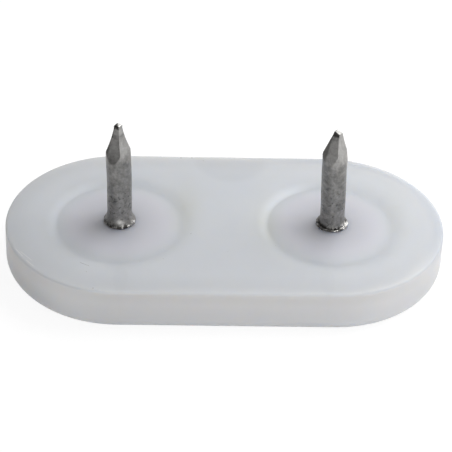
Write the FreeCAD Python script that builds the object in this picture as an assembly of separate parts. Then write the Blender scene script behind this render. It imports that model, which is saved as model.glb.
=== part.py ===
import FreeCAD, Part
import math
import os

# Furniture glide: an obround plastic plate with two steel nails moulded into it.
# Millimetres. The origin is the centre of the sliding face, +X runs along the plate, +Z is the way
# that the nails point. The plate lies on its sliding face, as it does before it is driven home.

Vector = FreeCAD.Vector
upward = Vector(0, 0, 1)

# Plate
plate_width = 26.0
plate_thickness = 5.5
side_draft = 1.0  # degrees, the side leans inward as it rises
top_edge_break = 0.3  # flat break all along the top edge
sole_edge_radius = 1.7  # round all along the edge of the sliding face

# Bosses: each nail stands on a low dome, inside a groove that runs round the dome
rim_land = 4.0  # flat land from the plate's side to the rim of the groove
middle_land = 6.0  # flat land between the rims of the two grooves
groove_width = 1.9  # from the rim to the foot of the dome
groove_depth = 1.0
groove_wall_slope = 57.0  # degrees from upright
dome_height = 1.0  # above the floor of the groove
dome_root = 0.5  # how far the same round runs on below the floor

# Nails
shank_diameter = 2.8
head_diameter = 7.0
head_thickness = 1.0
head_cover = 1.5  # plastic under the head
collar_overhang = 0.42  # beyond the shank, all round
collar_lift = 0.1  # widest level of the collar above the crown of the dome
collar_rim_radius = 0.22
collar_sunk = 0.5  # from the crown of the dome down to the foot of the collar
left_cove_height = 1.3  # hollow flare between the collar and the shank
right_cove_height = 0.5

# Nail points: four facets pinched into the wire, each with a hollow run-out at its lower end
run_out_radius = 2.5
run_out_depth = 0.4
tip_width = 0.55  # across the flats of the blunt end
point_turn = -32.0  # degrees, from the front of the plate to the first facet
left_nail_rise = 13.0  # tip above the top of the plate
right_nail_rise = 12.5
left_facet_slope = 10.7  # degrees from the axis
right_facet_slope = 12.3
left_point_lean = -1.6  # degrees, how far the point was pinched out of line
right_point_lean = 7.75
left_lean_drop = 0.6  # from the tip down to the level about which the point leans
right_lean_drop = 2.5

# Levels and places that follow from the sizes above
half_width = plate_width / 2
rim_reach = half_width - rim_land
end_centre = rim_reach + middle_land / 2  # the nails stand at the centres of the rounded ends
dome_radius = rim_reach - groove_width
floor_level = plate_thickness - groove_depth
crown_level = floor_level + dome_height
collar_level = crown_level + collar_lift
shank_radius = shank_diameter / 2
collar_radius = shank_radius + collar_overhang
clear = 1.0  # how far a cutting shape reaches past what it cuts


# A point given by its distance from the axis and its height
def at(across, height):
    return Vector(across, 0, height)


# Arc about a centre, between two directions in degrees, 0 outward and 90 upward
def arc(centre, radius, start, end):
    points = []
    for direction in (start, (start + end) / 2, end):
        turn = math.radians(direction)
        points.append(centre + at(radius * math.cos(turn), radius * math.sin(turn)))
    return Part.Arc(*points).toShape()


def line(start, end):
    return Part.makeLine(start, end)


# Face inside a chain of edges, closed with straight lines where its edges don't meet
def closed_face(edges):
    chain = []
    for edge, following in zip(edges, edges[1:] + edges[:1]):
        chain.append(edge)
        start = edge.valueAt(edge.LastParameter)
        end = following.valueAt(following.FirstParameter)
        if (end - start).Length > 1e-6:
            chain.append(line(start, end))
    return Part.Face(Part.Wire(chain))


# Solid of revolution about the upright axis through x
def turned(face, x, angle=360):
    solid = face.revolve(Vector(0, 0, 0), upward, angle)
    solid.translate(Vector(x, 0, 0))
    return solid


# Half of the plate's cross-section, from the middle out to the side
def plate_section():
    draft = math.radians(side_draft)
    edge_centre = at(half_width - sole_edge_radius, sole_edge_radius)
    side_foot = edge_centre + at(math.cos(draft), math.sin(draft)) * sole_edge_radius
    side_head_level = plate_thickness - top_edge_break
    lean = (side_head_level - side_foot.z) * math.tan(draft)
    side_head = at(side_foot.x - lean, side_head_level)
    return closed_face([
        line(at(0, 0), at(edge_centre.x, 0)),
        arc(edge_centre, sole_edge_radius, -90, side_draft),
        line(side_head, at(side_head.x - top_edge_break, plate_thickness)),
        line(at(0, plate_thickness), at(0, 0)),
    ])


# The plate: its section turned about both end centres and drawn straight between them
def make_plate():
    section = plate_section()
    section.rotate(Vector(0, 0, 0), upward, 90)
    left_end = turned(section, -end_centre, 180)
    right_end = left_end.mirror(Vector(0, 0, 0), Vector(1, 0, 0))
    section.translate(Vector(-end_centre, 0, 0))
    back_half = section.extrude(Vector(2 * end_centre, 0, 0))
    front_half = back_half.mirror(Vector(0, 0, 0), Vector(0, 1, 0))
    return left_end.fuse([right_end, back_half, front_half]).removeSplitter()


# The round pocket with sloped walls that leaves room for the groove and the dome
def pocket():
    wall_run = groove_depth * math.tan(math.radians(groove_wall_slope))
    wall = line(at(rim_reach - wall_run, floor_level), at(rim_reach, plate_thickness))
    over_rim = at(rim_reach, plate_thickness + clear)
    lid = line(over_rim, at(0, plate_thickness + clear))
    floor = line(at(0, floor_level), at(rim_reach - wall_run, floor_level))
    return closed_face([floor, wall, lid])


# The dome: the cap of a ball, as wide as the groove leaves it, rooted below the floor
def dome():
    ball_radius = (dome_radius**2 + dome_height**2) / (2 * dome_height)
    ball_centre = at(0, crown_level - ball_radius)
    root_level = floor_level - dome_root
    root = math.asin((root_level - ball_centre.z) / ball_radius)
    base = line(at(0, root_level), at(ball_radius * math.cos(root), root_level))
    return closed_face([base, arc(ball_centre, ball_radius, math.degrees(root), 90)])


# The moulded body, with the nails' own shapes as its cavities
def make_body(nails):
    body = make_plate()
    for x in (-end_centre, end_centre):
        body = body.cut(turned(pocket(), x)).fuse(turned(dome(), x))
    return body.cut(nails)


# Half of the nail's outline below its point: head, neck, collar, cove and shank
def nail_section(tip_level, cove_height):
    head_top = head_cover + head_thickness
    head_radius = head_diameter / 2
    foot_level = crown_level - collar_sunk
    rim = collar_rim_radius
    rim_centre = at(collar_radius - rim, collar_level)
    flare = collar_radius - rim - shank_radius
    cove_radius = (cove_height**2 + flare**2 - rim**2) / (2 * (flare + rim))
    cove_centre = at(shank_radius + cove_radius, collar_level + cove_height)
    reach = math.degrees(math.asin(cove_height / (cove_radius + rim)))
    return closed_face([
        line(at(0, head_cover), at(head_radius, head_cover)),
        line(at(head_radius, head_top), at(shank_radius, head_top)),
        line(at(shank_radius, head_top), at(shank_radius, foot_level)),
        arc(rim_centre, rim, -45, reach),
        arc(cove_centre, cove_radius, 180 + reach, 180),
        line(at(shank_radius, tip_level), at(0, tip_level)),
    ])


# The shape that pinches one facet: a straight slope with a hollow run-out at its lower end
def facet_cutter(tip_level, facet_slope):
    slope = math.radians(facet_slope)
    pinch_radius = shank_radius - run_out_depth
    pinch_level = tip_level - (pinch_radius - tip_width / 2) / math.tan(slope)
    hollow_centre = at(pinch_radius, pinch_level) + at(math.cos(slope), math.sin(slope)) * run_out_radius
    over_tip = at(tip_width / 2 - clear * math.tan(slope), tip_level + clear)
    side = closed_face([
        line(over_tip, at(pinch_radius, pinch_level)),
        arc(hollow_centre, run_out_radius, 180 + facet_slope, 270),
        line(at(hollow_centre.x, tip_level), at(hollow_centre.x, tip_level + clear)),
    ])
    side.translate(Vector(0, -shank_diameter, 0))
    return side.extrude(Vector(0, 2 * shank_diameter, 0))


def make_nail(x, rise, cove_height, facet_slope, lean, lean_drop):
    tip_level = plate_thickness + rise
    nail = turned(nail_section(tip_level, cove_height), 0)
    cutter = facet_cutter(tip_level, facet_slope)
    cutters = []
    for quarter in range(4):
        facet = cutter.copy()
        facet.rotate(Vector(0, 0, 0), upward, point_turn - 90 + 90 * quarter)
        facet.rotate(Vector(0, 0, tip_level - lean_drop), Vector(0, 1, 0), lean)
        cutters.append(facet)
    nail = nail.cut(cutters)
    nail.translate(Vector(x, 0, 0))
    return nail


def main():
    nails = {
        "nail_left": make_nail(-end_centre, left_nail_rise, left_cove_height,
                               left_facet_slope, left_point_lean, left_lean_drop),
        "nail_right": make_nail(end_centre, right_nail_rise, right_cove_height,
                                right_facet_slope, right_point_lean, right_lean_drop),
    }
    pieces = {"glide_body": make_body(list(nails.values())), **nails}
    os.makedirs("parts", exist_ok=True)
    for name, piece in pieces.items():
        piece.Solids[0].exportStep(os.path.join("parts", name + ".step"))


main()
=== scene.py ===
import math
import bmesh
import bpy
from mathutils import Matrix, Vector, noise


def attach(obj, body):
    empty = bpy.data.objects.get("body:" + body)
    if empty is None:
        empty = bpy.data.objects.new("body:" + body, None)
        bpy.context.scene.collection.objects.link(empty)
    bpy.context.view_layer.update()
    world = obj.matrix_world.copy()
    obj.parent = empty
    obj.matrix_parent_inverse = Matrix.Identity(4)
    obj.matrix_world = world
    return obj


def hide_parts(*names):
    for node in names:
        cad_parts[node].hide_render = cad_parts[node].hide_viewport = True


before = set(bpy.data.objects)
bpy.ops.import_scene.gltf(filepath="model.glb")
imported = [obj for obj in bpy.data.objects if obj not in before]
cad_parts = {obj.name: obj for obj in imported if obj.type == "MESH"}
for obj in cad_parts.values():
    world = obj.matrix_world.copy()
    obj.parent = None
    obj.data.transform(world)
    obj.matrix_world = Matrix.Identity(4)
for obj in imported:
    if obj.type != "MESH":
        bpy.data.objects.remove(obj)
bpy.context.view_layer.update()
mm = 0.001
print("frame loaded:", ", ".join(sorted(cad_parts)))


# An output of a material's node. Sums, products and powers of it add Math nodes.
class Wire:
    def __init__(self, paint, socket):
        self.paint = paint
        self.socket = socket

    def join(self, operation, first, second=0.0):
        return self.paint.node("ShaderNodeMath", {"operation": operation}, {0: first, 1: second})

    def __add__(self, other):
        return self.join("ADD", self, other)

    def __radd__(self, other):
        return self.join("ADD", other, self)

    def __sub__(self, other):
        return self.join("SUBTRACT", self, other)

    def __rsub__(self, other):
        return self.join("SUBTRACT", other, self)

    def __mul__(self, other):
        return self.join("MULTIPLY", self, other)

    def __rmul__(self, other):
        return self.join("MULTIPLY", other, self)

    def __truediv__(self, other):
        return self.join("DIVIDE", self, other)

    def __rtruediv__(self, other):
        return self.join("DIVIDE", other, self)

    def __pow__(self, other):
        return self.join("POWER", self, other)

    def __abs__(self):
        return self.join("ABSOLUTE", self)

    def atLeast(self, other):
        return self.join("MAXIMUM", self, other)

    def exp(self):
        return self.join("EXPONENT", self)

    def out(self, name):
        return Wire(self.paint, self.socket.node.outputs[name])


# A material or world and the nodes that it is mixed from. Places are in millimetres.
class Paint:
    def __init__(self, owner):
        owner.use_nodes = True
        self.owner = owner
        self.tree = owner.node_tree
        self.tree.nodes.clear()
        metres = self.node("ShaderNodeTexCoord", {}, {}, "Object")
        self.place = self.scaled(metres, 1 / mm)

    def node(self, kind, settings, sockets, output=0):
        made = self.tree.nodes.new(kind)
        for name, value in settings.items():
            setattr(made, name, value)
        for name, value in sockets.items():
            if isinstance(value, Wire):
                self.tree.links.new(value.socket, made.inputs[name])
            else:
                made.inputs[name].default_value = value
        return Wire(self, made.outputs[output])

    # A colour or vector times a number
    def scaled(self, vector, factor):
        return self.node("ShaderNodeVectorMath", {"operation": "SCALE"}, {0: vector, "Scale": factor})

    def axis(self, name):
        return self.node("ShaderNodeSeparateXYZ", {}, {0: self.place}, name)

    def stretched(self, x, y, z):
        return self.node("ShaderNodeVectorMath", {"operation": "MULTIPLY"}, {0: self.place, 1: (x, y, z)})

    # Noise from 0 to 1, a lump about 1 / scale millimetres wide
    def cloud(self, scale, detail=3.0, roughness=0.5, place=None):
        sockets = {"Vector": place or self.place, "Scale": scale, "Detail": detail, "Roughness": roughness}
        return self.node("ShaderNodeTexNoise", {}, sockets)

    def grains(self, scale):
        return self.node("ShaderNodeTexVoronoi", {}, {"Vector": self.place, "Scale": scale})

    # 0 below low, 1 above high and smooth between them; the other way round where low is the larger
    def rise(self, value, low, high):
        sockets = {"Value": value, "From Min": low, "From Max": high, "To Min": 0.0, "To Max": 1.0}
        return self.node("ShaderNodeMapRange", {"interpolation_type": "SMOOTHSTEP"}, sockets)

    def tint(self, factor, first, second):
        return self.node("ShaderNodeMix", {"data_type": "RGBA"}, {0: factor, 6: first, 7: second}, 2)

    def bump(self, height, distance, strength, facing=None):
        sockets = {"Strength": strength, "Distance": distance * mm, "Height": height}
        if facing is not None:
            sockets["Normal"] = facing
        return self.node("ShaderNodeBump", {}, sockets)

    # 1 for rays that make the picture, reflections and glass, 0 for rays that only carry light
    def seen(self):
        path = self.node("ShaderNodeLightPath", {}, {})
        rays = path.out("Is Camera Ray") + path.out("Is Glossy Ray") + path.out("Is Transmission Ray")
        return self.rise(rays, 0.0, 1.0)

    def surface(self, shader, output="ShaderNodeOutputMaterial"):
        made = self.tree.nodes.new(output)
        self.tree.links.new(shader.socket, made.inputs["Surface"])
        return self.owner


def grey(level):
    return (level, level, level, 1)


def softMax(values, width):
    top = max(values)
    return top + width * math.log(sum(math.exp((value - top) / width) for value in values))


def softMin(values, width):
    return -softMax([-value for value in values], width)


# Bell shape, 1 at the middle
def bell(value, middle, width):
    return math.exp(-(((value - middle) / width) ** 2))


# Even steps from start to end, without the start itself
def spaced(start, end, steps):
    return [start + (end - start) * i / steps for i in range(1, steps + 1)]


# Points on an arc in the upright plane, (across, height), for directions in degrees
def arcRow(across, height, radius, start, end, steps):
    turns = [math.radians(turn) for turn in spaced(start, end, steps)]
    return [(across + radius * math.cos(turn), height + radius * math.sin(turn)) for turn in turns]


# A smooth line through points, without overshoot between them
def smoothLine(line, x):
    for (x0, y0), (x1, y1) in zip(line, line[1:]):
        if x <= x1:
            break
    i = line.index((x0, y0))

    def steepness(k):
        (xa, ya), (xb, yb) = line[max(k - 1, 0)], line[min(k + 1, len(line) - 1)]
        return (yb - ya) / (xb - xa)

    t, width = (x - x0) / (x1 - x0), x1 - x0
    a, b = steepness(i) * width, steepness(i + 1) * width
    return y0 + a * t + (3 * (y1 - y0) - 2 * a - b) * t**2 + (a + b - 2 * (y1 - y0)) * t**3


# A closed skin from points in millimetres, standing for a solid of the frame
def skin(name, points, faces, paint, node):
    mesh = bpy.data.meshes.new(name)
    mesh.from_pydata([[c * mm for c in point] for point in points], [], faces)
    build = bmesh.new()
    build.from_mesh(mesh)
    bmesh.ops.remove_doubles(build, verts=build.verts, dist=1e-7)
    bmesh.ops.recalc_face_normals(build, faces=build.faces)
    for face in build.faces:
        face.smooth = True
    openEdges = sum(1 for edge in build.edges if len(edge.link_faces) != 2)
    build.to_mesh(mesh)
    build.free()
    piece = bpy.data.objects.new(name, mesh)
    bpy.context.scene.collection.objects.link(piece)
    mesh.materials.append(paint)
    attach(piece, "root")
    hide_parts(node)
    print(name, "has", len(mesh.polygons), "faces and", openEdges, "open edges")


# The moulded plate, in millimetres. A row or a column is a line of the mesh's points.
plate = {
    "halfWidth": 12.99,
    "thickness": 5.5,
    "endCentre": 12.0,
    "draft": 1.0,  # degrees
    "topRound": 0.38,
    "soleRound": 1.7,
    "bed": [(1.5, 4.85), (1.62, 5.38)],  # reach and height of the steps that the nail hides
    "boss": [  # distance from the nail and height, over the dome and the groove to the land
        (0.0, 5.5), (2.0, 5.485), (3.5, 5.43), (4.8, 5.345), (5.6, 5.265), (6.2, 5.175), (6.6, 5.1),
        (6.9, 5.055), (7.2, 5.04), (7.5, 5.085), (7.8, 5.17), (8.2, 5.3), (8.6, 5.405), (8.95, 5.46),
        (9.25, 5.488), (9.5, 5.5), (10.5, 5.5)
    ],
    "unevenness": 0.03,
    "unevenAbove": 4.2,
    "unevenScale": (0.13, 0.17),  # lumps in a millimetre, along and across
    "unevenSeed": 3.1,
    "bedRings": [1.44, 1.56],
    "bossRings": [(1.6, 6.0, 30), (6.0, 9.7, 60)],  # start, end and number
    "landRows": 12,
    "topRoundRows": 9,
    "sideRows": 7,
    "soleRoundRows": 16,
    "soleRows": 8,
    "endColumns": 120,
    "sideColumns": 28,
    "middleColumns": 48,
}


# Height of the plate's top at a distance from the nail
def plateHeight(r):
    for reach, height in plate["bed"]:
        if r < reach:
            return height
    return smoothLine(plate["boss"], r)


# Reach of the flat top, then reach and height down the side to the flat sole
def plateSide():
    p = plate
    slope = math.tan(math.radians(p["draft"]))
    sole, top = p["soleRound"], p["topRound"]
    topCentre = p["halfWidth"] - (p["thickness"] - top - sole) * slope - top
    straight = spaced(p["thickness"] - top, sole, p["sideRows"])[:-1]
    rows = arcRow(topCentre, p["thickness"] - top, top, 90, p["draft"], p["topRoundRows"])
    rows += [(p["halfWidth"] - (z - sole) * slope, z) for z in straight]
    rows += arcRow(p["halfWidth"] - sole, sole, sole, p["draft"], -90, p["soleRoundRows"])
    return topCentre, rows


# Slight unevenness of the moulded top
def plateWear(x, y, z):
    p = plate
    if z > p["unevenAbove"]:
        along, across = p["unevenScale"]
        lump = noise.noise(Vector((x * along, y * across, p["unevenSeed"])))
        z -= p["unevenness"] * (0.5 + 0.5 * lump)
    return x, y, z


# Kinds and places of the columns, once round the left half: along its front to the rounded end,
# back along its rear, and across the middle of the plate
def plateColumns():
    p = plate
    front = [("front", p["endCentre"] * (1 - i / p["sideColumns"])) for i in range(p["sideColumns"])]
    ends = [("round", -90 - 180 * i / p["endColumns"]) for i in range(p["endColumns"] + 1)]
    back = [("back", x) for x in spaced(0, p["endCentre"], p["sideColumns"])]
    middle = [("middle", share) for share in spaced(1, -1, p["middleColumns"])[:-1]]
    return front + ends + back + middle


# Where a column crosses an outline that lies at a reach from the plate's middle line
def columnPlace(kind, value, reach):
    if kind == "round":
        turn = math.radians(value)
        return reach * math.cos(turn), reach * math.sin(turn)
    if kind == "middle":
        return plate["endCentre"], value * reach
    return value, reach if kind == "back" else -reach


# One half of the plate is a fan of columns about its nail. A column runs from the nail out over the
# dome, the groove and the land to the side, down the side and back along the sole. In the middle of
# the plate it has no side. The other half is its mirror image.
def makePlate(paint):
    p = plate
    topReach, side = plateSide()
    radii = p["bedRings"] + [r for ring in p["bossRings"] for r in spaced(*ring)]
    topSteps, soleSteps = len(radii) + p["landRows"] - 1, p["soleRows"] - 1
    points, columns, faces = [], [], []
    for kind, value in plateColumns():
        bx, by = columnPlace(kind, value, topReach)
        turn = math.atan2(by, bx)
        column = [(r * math.cos(turn), r * math.sin(turn), plateHeight(r)) for r in radii]
        lx, ly = column[-1][:2]
        land = spaced(0, 1, p["landRows"])
        column += [(lx + (bx - lx) * f, ly + (by - ly) * f, p["thickness"]) for f in land]
        if kind == "middle":
            column.append((*columnPlace(kind, value, side[-1][0]), 0.0))
        else:
            column += [(*columnPlace(kind, value, reach), z) for reach, z in side]
        sx, sy = column[-1][:2]
        columns.append((len(points), len(points) + len(column) - 1, kind != "middle"))
        points += column + [(sx * f, sy * f, 0.0) for f in spaced(1, 0, p["soleRows"])[:-1]]

    def strip(a, b, steps):
        faces.extend((a + k, a + k + 1, b + k + 1, b + k) for k in range(steps))

    pit, foot = len(points), len(points) + 1
    points += [(0, 0, plateHeight(0)), (0, 0, 0)]
    for (a, soleA, sideA), (b, soleB, sideB) in zip(columns, columns[1:] + columns[:1]):
        strip(a, b, topSteps)
        if sideA and sideB:
            strip(a + topSteps, b + topSteps, len(side))
        strip(soleA, soleB, soleSteps)
        faces += [(a, b, pit), (soleA + soleSteps, foot, soleB + soleSteps)]
    half = [(x - p["endCentre"], y, z) for x, y, z in points]
    whole = half + [(-x, y, z) for x, y, z in half]
    faces += [tuple(len(half) + k for k in reversed(face)) for face in faces]
    skin("plate", [plateWear(*point) for point in whole], faces, paint, "glide_body")


# The nails, in millimetres. Heights are counted from the sole and depths from the tip.
leftNail = {
    "name": "leftNail",
    "node": "nail_left",
    "x": -12.0,
    "tip": 18.5,
    "shank": 1.4,
    "lip": (1.6, 5.6, 0.22),  # of the collar: the middle of its round, and its radius
    "lipStart": -45,  # degrees, 0 outward
    "nick": [],  # outline of the gap behind a bent lip
    "serrations": 0.0,
    "coveTop": 6.9,  # where the hollow flare ends in the round shank
    "pinch": (0.28, 0.115, 0.029),  # a facet's reach at the tip, and how it grows on the way down
    "bend": [(5.0, 0.0), (10.5, 0.0), (14.0, -0.08), (16.0, -0.11), (18.6, -0.09)],
    "slant": 0.0,  # of the blunt end
    "swell": 0.05,  # of the blunt end, where the wire was cut off
    "seed": 2.0,
}
rightNail = dict(
    leftNail, name="rightNail", node="nail_right", x=12.0, tip=18.0, lip=(1.70, 5.56, 0.12),
    lipStart=-40, nick=[(1.56, 5.58), (1.53, 5.56), (1.51, 5.60), (1.50, 5.66)], serrations=0.05,
    coveTop=6.1, pinch=(0.335, 0.23, 0.012), slant=0.42, swell=0.02, seed=9.0,
    bend=[
        (5.0, 0.19), (6.2, 0.19), (9.0, 0.11), (12.8, -0.03), (14.3, -0.04), (15.3, -0.12),
        (16.0, -0.10), (16.7, -0.05), (17.2, -0.01), (17.7, 0.08), (18.1, 0.12)
    ]
)
bothNails = {
    "foot": [(1.25, 4.9), (1.38, 4.95)],  # reach and height, hidden in the plastic
    "flare": [(1.4, 5.0), (1.756, 5.444)],  # from the foot out to the lip
    "bentLipEnd": 150,  # degrees
    "facetTurn": -32.0,  # degrees, the way that the first facet faces
    "facetsAbove": 12.0,
    "facetSoftness": 0.012,
    "lumps": [(0.018, 1.6, 0.55, 1), (0.007, 4.5, 1.6, -1)],  # size, scale round and along, seed
    "lumpsAbove": 5.8,
    "smoothTip": 0.1,  # depth of the part without lumps
    "teethLevels": (5.42, 5.75),
    "teethReach": 1.52,
    "teeth": 44,
    "teethTurn": 0.25,  # radians, the worst teeth from the front
    "upset": (0.16, 0.13),  # depth and width of the swelling
    "frontUpset": (0.85, 0.3, 0.45),  # depth, width and share of a second one in front
    "slantDepth": 0.7,
    "columns": 128,
    "flareRows": 4,
    "lipRows": 12,
    "fadeRows": 10,
    "coveRows": 18,
    "shankRows": [(13.0, 30), (15.6, 40)],  # height and number
    "endRows": [(0.5, 24), (0.03, 14)],  # depth and number
    "endRings": (0.93, 0.8, 0.55, 0.28),
}


# How far a facet lies from the middle of the nail at a height
def facetReach(n, z):
    reach, growth, hollow = n["pinch"]
    down = n["tip"] - z
    return reach + growth * down + hollow * down**2


# How far a square end, or a ring inside it, reaches in a direction
def squareReach(half, turn):
    return half / max(abs(math.cos(turn)), abs(math.sin(turn)))


# Reach and height of the collar's lip and of the hollow flare that runs into the shank
def collarRows(n):
    q = bothNails
    shank, coveTop = n["shank"], n["coveTop"]
    across, height, lip = n["lip"]
    if n["nick"]:
        over, level = n["nick"][-1]
        rows = arcRow(across, height, lip, n["lipStart"], q["bentLipEnd"], q["lipRows"]) + n["nick"]
        fade = spaced(0, 1, q["fadeRows"])
        return rows + [(shank + (over - shank) * (1 - f) ** 2, level + (coveTop - level) * f) for f in fade]
    flare, rise = across - shank, coveTop - height
    cove = (rise**2 + flare**2 - lip**2) / (2 * (flare + lip))
    end = math.degrees(math.asin(rise / (cove + lip)))
    rows = arcRow(across, height, lip, n["lipStart"], end, q["lipRows"])
    return rows + arcRow(shank + cove, coveTop, cove, 180 + end, 180, q["coveRows"])


def nailRows(n):
    q = bothNails
    (footReach, footLevel), (lipReach, lipLevel) = q["flare"]
    rise, spread = lipLevel - footLevel, lipReach - footReach
    shares = spaced(0, 1, q["flareRows"])
    rows = q["foot"] + [(footReach + spread * f, footLevel + rise * f) for f in shares] + collarRows(n)
    level = n["coveTop"]
    for top, steps in q["shankRows"] + [(n["tip"] - depth, steps) for depth, steps in q["endRows"]]:
        rows += [(n["shank"], z) for z in spaced(level, top, steps)]
        level = top
    return rows


def makeNail(n, paint):
    q = bothNails
    count = q["columns"]
    turns = [2 * math.pi * i / count for i in range(count)]
    spin = math.radians(q["facetTurn"])
    points, faces = [], []
    for radius, z in nailRows(n):
        for turn in turns:
            r = radius
            if z > q["facetsAbove"]:
                r = softMin([r, squareReach(facetReach(n, z), turn)], q["facetSoftness"])
            points.append(nailPlace(n, r, turn + spin, z))
    for share in q["endRings"]:
        for turn in turns:
            points.append(nailPlace(n, squareReach(share * n["pinch"][0], turn), turn + spin, n["tip"]))
    for row in range(len(points) // count - 1):
        for i in range(count):
            j = (i + 1) % count
            a, b = row * count, (row + 1) * count
            faces.append((a + i, a + j, b + j, b + i))
    last = len(points) - count
    points += [nailPlace(n, 0, 0, n["tip"]), (n["x"], 0, q["foot"][0][1])]
    for i in range(count):
        j = (i + 1) % count
        faces += [(last + i, last + j, len(points) - 2), (j, i, len(points) - 1)]
    skin(n["name"], points, faces, paint, n["node"])


# Where a place on the nail comes to, with the lumps of the drawn wire, the serrated lip, the upset
# end and the bend of the whole nail
def nailPlace(n, r, turn, z):
    q = bothNails
    x, y = math.cos(turn), math.sin(turn)
    if q["lumpsAbove"] < z < n["tip"] - q["smoothTip"]:
        for size, around, along, seed in q["lumps"]:
            r += size * noise.noise(Vector((x * around, y * around, z * along + seed * n["seed"])))
    low, high = q["teethLevels"]
    if n["serrations"] and low < z < high and r > q["teethReach"]:
        front = max(0.0, -math.sin(turn + q["teethTurn"])) ** 2
        r -= n["serrations"] * front * (0.5 + 0.5 * math.cos(turn * q["teeth"]))
    down = n["tip"] - z
    depth, width, share = q["frontUpset"]
    r += n["swell"] * (bell(down, *q["upset"]) + share * max(0.0, -y) * bell(down, depth, width))
    x, y = r * x, r * y
    z -= n["slant"] * x * max(0.0, 1 - down / q["slantDepth"])
    return n["x"] + x + smoothLine(n["bend"], z), y, z


# The plastic, with places and reaches in millimetres
plastic = {
    "colour": (0.66, 0.685, 0.72, 1),
    "domes": (0.685, 0.69, 0.745, 1),
    "yellowed": (0.58, 0.585, 0.52, 1),
    "side": (0.685, 0.69, 0.705, 1),
    "farRim": (0.58, 0.64, 0.74, 1),  # painted shade, darker and cooler, at the back right corner of the top
    "dark": (0.20, 0.19, 0.16, 1),
    "pale": (0.86, 0.86, 0.87, 1),
    "roughness": 0.42,
    "grain": 0.02,  # height of the bumps
    "translucence": 1.0,
    "depth": 5.0,  # how far light goes inside
    "evenness": 0.55,  # how far light inside the plastic evens out the relief of its top
    "shadedEvenness": 0.35,  # as much more on the side of the groove that the light leaves dark
    "domeEdge": 7.2,
    "grooveMiddle": 7.8,
    "grooveYellow": 0.06,
    "halo": 0.24,  # how much the nail's head darkens the plastic over it, with painted shade of the nail round its foot
    "haloReach": 4.472,
    "rim": 0.12,  # how much painted shade darkens the rim of the top
    # more painted shade at the back right corner of the rim
    "farRimShade": 0.14,
    "lipHighlight": 0.2,  # painted highlight: how much lighter the groove's edge is on its left
    "paintedEndLight": 0.14,  # painted light: how much lighter the side is round the ends
    "dirtStrength": 0.6,
    "scrapeStrength": 0.7,
    # x, y, reach along and across, strength
    "stains": [(-4.5, 2.6, 1.6, 4.5, 0.4), (4.6, 0.0, 1.5, 4.5, 0.4), (19.8, 2.0, 1.4, 4.5, 0.15)],
    "ghosts": [(0.9, 12.6, 4.9, 5.4, 0.05), (-11.6, -10.6, 0.9, 2.6, 0.02), (11.0, -10.6, 0.9, 2.6, 0.02)],
    # x, y, reach
    "marks": [
        (-7.48, 12.7, 0.12), (-5.09, 12.44, 0.13), (-3.78, 12.47, 0.12), (-14.5, -12.3, 0.10),
        (-3.9, -2.2, 0.08)
    ],
    # middle, direction, half length and half width
    "scratch": (-15.6, -8.1, 0.86, -0.5, 0.7, 0.05),
    "scrapes": [
        (-22.95, -6.2, 0.57, -0.82, 0.9, 0.07), (-22.1, -6.85, 0.65, -0.76, 1.2, 0.06),
        (-21.6, -8.1, 0.65, -0.76, 0.8, 0.07)
    ],
}


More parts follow.
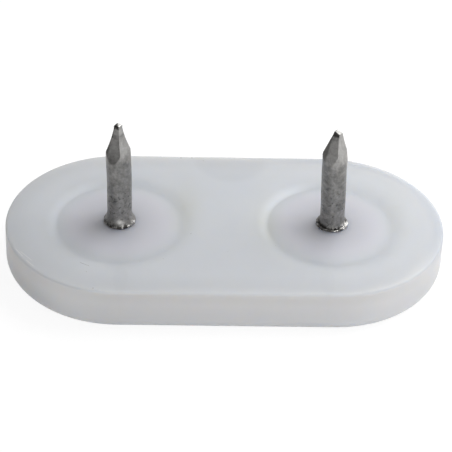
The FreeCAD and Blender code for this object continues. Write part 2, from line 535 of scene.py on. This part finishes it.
def paintPlastic():
    p, m = plastic, Paint(bpy.data.materials.new("whitePlastic"))
    x, y, z = m.axis("X"), m.axis("Y"), m.axis("Z")
    facing = m.node("ShaderNodeNewGeometry", {}, {}, "Normal")
    upright = m.node("ShaderNodeSeparateXYZ", {}, {0: facing}, "Z")
    onTop, onSide = m.rise(z, 4.7, 4.9), m.rise(upright, 0.5, 0.0)
    across = x + plate["endCentre"] * (1 - 2 * m.rise(x, -0.1, 0.1))  # from the nearer nail
    pastNails = abs(x) - plate["endCentre"]
    nailDistance = (pastNails**2.0 + y**2.0) ** 0.5
    outward = (pastNails.atLeast(0.0) ** 2.0 + y**2.0) ** 0.5  # from the line between the nails

    # 0 in the middle of a spot and 1 at its edge
    def spot(cx, cy, reachX, reachY):
        return ((x - cx) / reachX) ** 2.0 + ((y - cy) / reachY) ** 2.0

    def stroke(cx, cy, dx, dy, halfLength, halfWidth):
        along, aside = abs((x - cx) * dx + (y - cy) * dy), abs((x - cx) * dy - (y - cy) * dx)
        return m.rise(along, halfLength, 0.7 * halfLength) * m.rise(aside, halfWidth, 0.3 * halfWidth)

    mottle = m.cloud(0.35, 4, 0.6)
    nearGroove = m.rise(abs(nailDistance - p["grooveMiddle"]), 1.6, 0.6)
    yellow = m.rise(m.cloud(0.55, 3, 0.6), 0.45, 0.65) * nearGroove * p["grooveYellow"]
    for *place, strength in p["stains"]:
        yellow = yellow + strength * (0 - spot(*place)).exp() * (0.6 + 0.8 * mottle)
    dirt = m.rise(m.grains(0.8), 0.055, 0.03) * m.rise(m.cloud(0.3, 1), 0.55, 0.62)
    for cx, cy, reach in p["marks"]:
        dirt = dirt + m.rise(((x - cx) ** 2.0 + (y - cy) ** 2.0) ** 0.5, reach, 0.4 * reach)
    dirt = dirt + stroke(*p["scratch"])
    scraped = sum(stroke(*scrape) for scrape in p["scrapes"])

    # Painted shade darkens the rim of the top, most at its back right corner
    nearRim = m.rise(z, 3.4, 5.3)
    farRim = m.rise(outward, 11.0, 12.9) * m.rise(x * 0.7 + y * 0.7, 9.0, 17.0) * nearRim
    paintedRimShade = m.rise(outward, 9.5, 13.0) * (1 - 0.5 * m.rise(x, 14.0, 24.0)) * p["rim"]
    paintedRimShade = paintedRimShade + p["farRimShade"] * farRim
    # A painted highlight on the groove's outer edge, on its left
    lip = m.rise(nailDistance, 6.95, 7.35) * m.rise(nailDistance, 8.7, 7.4)
    lip = lip * m.rise(across * 0.9 - y * 0.4, -3.5, -7.0) * m.rise(x, -60.0, 10.0)
    # Painted light on the side round the ends
    ends = m.rise(abs(x), 12.0, 19.0) - 0.4 * m.rise(x, 12.0, 19.0)
    # Darker round each nail: its head seen through the plastic, and painted shade cast by the nail
    halo = (0 - (nailDistance / p["haloReach"]) ** 2.0).exp()
    shade = (0.985 + 0.03 * mottle) * (1 - p["halo"] * halo) * (1 - paintedRimShade * nearRim)
    shade = shade * (1 + p["lipHighlight"] * lip) * (1 + p["paintedEndLight"] * ends * onSide)
    for *place, strength in p["ghosts"]:
        shade = shade * (1 - strength * m.rise(spot(*place), 1.0, 0.55))

    base = m.tint(m.rise(nailDistance, p["domeEdge"], 5.0) * onTop, p["colour"], p["domes"])
    base = m.tint(yellow * onTop, base, p["yellowed"])
    base = m.tint(m.rise(dirt * onTop, 0.0, 1.0) * p["dirtStrength"], base, p["dark"])
    base = m.tint(scraped * onTop * p["scrapeStrength"], base, p["pale"])
    base = m.tint(onSide, base, p["side"])
    # Painted shade, darker and cooler, at the back right corner of the top
    base = m.tint(farRim * 0.8, base, p["farRim"])

    shaded = m.rise(across + y, 0.0, 5.0) * m.rise(nailDistance, 6.9, 7.5)
    evenness = (p["evenness"] + p["shadedEvenness"] * shaded) * m.rise(upright, 0.7, 0.8)
    evened = m.node("ShaderNodeMix", {"data_type": "VECTOR"}, {0: evenness, 4: facing, 5: (0, 0, 1)}, 1)
    height = m.cloud(1.8, 3, 0.6) * 0.6 + m.cloud(7.0, 2, 0.5) * 0.3
    return m.surface(m.node("ShaderNodeBsdfPrincipled", {"subsurface_method": "RANDOM_WALK"}, {
        "Base Color": m.scaled(base, shade),
        "Roughness": p["roughness"] + 0.12 * (m.cloud(2.5, 3) - 0.5),
        "Normal": m.bump(height, p["grain"], 0.6, evened),
        "Subsurface Weight": p["translucence"],
        "Subsurface Radius": (1.0, 0.9, 0.75),
        "Subsurface Scale": p["depth"] * mm,
        "IOR": 1.49,
    }))


# The nails' steel, with heights and depths in millimetres
steel = {
    "colour": (0.265, 0.26, 0.252, 1),
    # painted highlights on the collar and on the top of the cut end
    "pits": (0.05, 0.048, 0.045, 1),
    "highlightColour": (0.88, 0.87, 0.84, 1),
    # painted shade on the collar, the point's left edge, below the left tip and on the cut end
    "shadeColour": (0.03, 0.028, 0.025, 1),
    "roughness": 0.38,
    "grain": 0.03,  # height of the bumps
    "collarTop": 6.15,
    "pitsTop": 13.0,
    "pointDepth": 4.2,
    "endDepth": 0.55,
    "stepShadeDepth": 1.35,  # of a painted shade under a small step below the tip, on the left nail only
}


def paintSteel():
    s, m = steel, Paint(bpy.data.materials.new("drawnSteel"))
    x, y, z = m.axis("X"), m.axis("Y"), m.axis("Z")
    onRight = m.rise(x, -1.0, 1.0)
    across = x + plate["endCentre"] * (1 - 2 * onRight)  # from the middle of the nail
    down = leftNail["tip"] - (leftNail["tip"] - rightNail["tip"]) * onRight - z
    facing = m.node("ShaderNodeSeparateXYZ", {}, {0: m.node("ShaderNodeNewGeometry", {}, {}, "Normal")})
    upright, rightward = facing.out("Z"), facing.out("X") * 0.85 - facing.out("Y") * 0.5

    drawn = m.cloud(1.0, 4, 0.6, m.stretched(5.0, 5.0, 0.35))
    mottle = m.cloud(1.1, 5, 0.65)
    patchiness = m.cloud(2.2, 4, 0.75)
    pits = m.rise(m.cloud(2.7, 2, 0.5), 0.56, 0.70) * m.rise(z, s["pitsTop"], s["pitsTop"] - 4.0)
    point = m.rise(down, s["pointDepth"], s["pointDepth"] - 1.0)
    tone = 0.80 + 0.25 * drawn + 1.4 * (mottle - 0.5) + 0.7 * (patchiness - 0.5)
    # Painted sheen on the point, strongest on the facets that face the right and front
    tone = tone + point * (0.25 + 0.25 * m.rise(rightward, 0.4, 0.9))

    collar = m.rise(z, s["collarTop"], s["collarTop"] - 0.45)
    # Painted shade on the collar's left front
    collarShade = collar * m.rise(0 - across * 0.6 - y * 0.8, -0.3, 0.9) * m.rise(patchiness, 0.62, 0.46)
    # Painted glints on the collar's right front
    glint = collar * m.rise(across * 0.8 - y * 0.6, 1.1, 1.6) * m.rise(patchiness, 0.48, 0.60)
    # Painted shade along the left edge of the point
    corner = m.rise(across / (0.42 + 0.29 * down), -0.75, -0.97) * point
    end = m.rise(down, s["endDepth"], s["endDepth"] - 0.25)
    # Painted shade on the cut end where it faces away from the light on the right
    endShade, endTop = m.rise(rightward, 0.3, 0.0), m.rise(upright, 0.45, 0.75)
    # A painted highlight on the top of the cut end, where it faces up
    endShine = end * endTop * m.rise(across + 0.15 * y, -0.22, 0.02) * (0.8 - 0.35 * onRight)
    # Painted shade under a small step below the tip of the left nail
    stepShade = (1 - onRight) * m.rise(abs(down - s["stepShadeDepth"]), 0.4, 0.1) * m.rise(mottle, 0.40, 0.55)

    base = m.tint(pits * 0.6, s["colour"], s["pits"])
    base = m.tint(collarShade, base, s["shadeColour"])
    base = m.tint(glint, base, s["highlightColour"])
    base = m.tint(corner * 0.6 + stepShade * 0.5 + end * endShade, base, s["shadeColour"])
    base = m.tint(endShine, base, s["highlightColour"])
    return m.surface(m.node("ShaderNodeBsdfPrincipled", {}, {
        "Base Color": m.scaled(base, tone),
        "Metallic": 0.45 + 0.4 * mottle,
        "Roughness": s["roughness"] + 0.15 * (mottle - 0.5) + 0.1 * pits - 0.12 * glint,
        "Normal": m.bump(drawn * 0.4 + mottle * 0.6 - pits * 0.5, s["grain"], 0.8),
    }))


# The camera looks down on the front of the plate, from a little to its left
camera = {
    "pitch": 37.25,  # degrees
    "yaw": 2.254,
    "roll": 2.154,
    "offset": (-0.09515, 0.54967, 199.822),  # mm, the middle of the plate's top seen from the camera
    "focal": 1753.641,  # pixels
    "imageWidth": 452,  # pixels
    "sensor": 36,  # mm
    "clipStart": 10,  # mm
}


def placeCamera():
    c = camera
    pitch, yaw, roll = (math.radians(c[name]) for name in ("pitch", "yaw", "roll"))
    forward = Vector((math.sin(yaw) * math.cos(pitch), math.cos(yaw) * math.cos(pitch), -math.sin(pitch)))
    level = Vector((math.cos(yaw), -math.sin(yaw), 0))
    upright = level.cross(forward)
    right = math.cos(roll) * level + math.sin(roll) * upright
    up = math.cos(roll) * upright - math.sin(roll) * level
    a, b, depth = c["offset"]
    place = Vector((0, 0, plate["thickness"])) - a * right - b * up - depth * forward
    made = bpy.data.objects.new("camera", bpy.data.cameras.new("camera"))
    made.matrix_world = Matrix.Translation(place * mm) @ Matrix((right, up, -forward)).transposed().to_4x4()
    made.data.sensor_width = c["sensor"]
    made.data.lens = c["focal"] * c["sensor"] / c["imageWidth"]
    made.data.clip_start = c["clipStart"] * mm
    bpy.context.scene.collection.objects.link(made)
    bpy.context.scene.camera = made
    print("camera at", [round(v, 2) for v in place])


lights = {
    "key": {"place": (84, 48, 118), "size": (150, 150), "power": 0.165},  # mm and watts
    "fill": {"place": (-30, -150, 18), "size": (300, 30), "power": 0.09},
    "surround": 0.40,
    "background": 1.0,
}


def softbox(name):
    box = lights[name]
    lamp = bpy.data.lights.new(name, "AREA")
    lamp.shape = "ELLIPSE"
    lamp.size, lamp.size_y = (side * mm for side in box["size"])
    lamp.energy = box["power"]
    made = bpy.data.objects.new(name, lamp)
    made.location = Vector(box["place"]) * mm
    made.visible_camera = False
    made.rotation_euler = (-made.location).to_track_quat("-Z", "Y").to_euler()
    bpy.context.scene.collection.objects.link(made)


def placeLights():
    softbox("key")
    softbox("fill")
    w = Paint(bpy.data.worlds.new("studio"))
    dim = w.node("ShaderNodeBackground", {}, {"Color": grey(1), "Strength": lights["surround"]})
    white = w.node("ShaderNodeBackground", {}, {"Color": grey(1), "Strength": lights["background"]})
    mixed = w.node("ShaderNodeMixShader", {}, {0: w.seen(), 1: dim, 2: white})
    bpy.context.scene.world = w.surface(mixed, "ShaderNodeOutputWorld")
    print("lights placed")


# A flat stand-in of the studio, from its corners in millimetres
def studioSheet(name, corners, paint):
    mesh = bpy.data.meshes.new(name)
    mesh.from_pydata([[c * mm for c in corner] for corner in corners], [], [(0, 1, 2, 3)])
    mesh.materials.append(paint)
    piece = bpy.data.objects.new(name, mesh)
    bpy.context.scene.collection.objects.link(piece)
    print(name, "placed")
    return piece


# The floor gives as much light as pale paper, and the picture shows it nearly white
floor = {
    "reach": 600,  # mm
    "level": -0.02,
    "paper": (0.90, 0.94),
    "seenPaper": 0.24,  # what still takes the shadow, under a glow of its own
    "glow": 0.87,
}


def makeFloor():
    f, m = floor, Paint(bpy.data.materials.new("paleFloor"))
    darker, lighter = f["paper"]
    paper = m.tint(m.cloud(0.2, 3), grey(darker), grey(lighter))
    plain = m.node("ShaderNodeBsdfDiffuse", {}, {"Color": paper})
    faint = m.node("ShaderNodeBsdfDiffuse", {}, {"Color": grey(f["seenPaper"])})
    glow = m.node("ShaderNodeEmission", {}, {"Color": grey(1), "Strength": f["glow"]})
    both = m.node("ShaderNodeAddShader", {}, {0: faint, 1: glow})
    paint = m.surface(m.node("ShaderNodeMixShader", {}, {0: m.seen(), 1: plain, 2: both}))
    reach, level = f["reach"], f["level"]
    corners = [(-reach, -reach), (reach, -reach), (reach, reach), (-reach, reach)]
    studioSheet("floor", [(x, y, level) for x, y in corners], paint)


# A dark card to the left, out of the picture, that gives the metal a dark side
card = {
    "corners": [(-85, 10, 0), (-40, -75, 0), (-40, -75, 60), (-85, 10, 60)],  # mm
    "felt": (0.06, 0.09),
}


def makeCard():
    m = Paint(bpy.data.materials.new("darkCard"))
    darker, lighter = card["felt"]
    felt = m.tint(m.cloud(0.5, 3), grey(darker), grey(lighter))
    paint = m.surface(m.node("ShaderNodeBsdfDiffuse", {}, {"Color": felt}))
    studioSheet("card", card["corners"], paint).visible_camera = False


bpy.context.scene.view_settings.view_transform = "Standard"
placeCamera()
placeLights()
makeFloor()
makeCard()
makePlate(paintPlastic())
nailPaint = paintSteel()
makeNail(leftNail, nailPaint)
makeNail(rightNail, nailPaint)
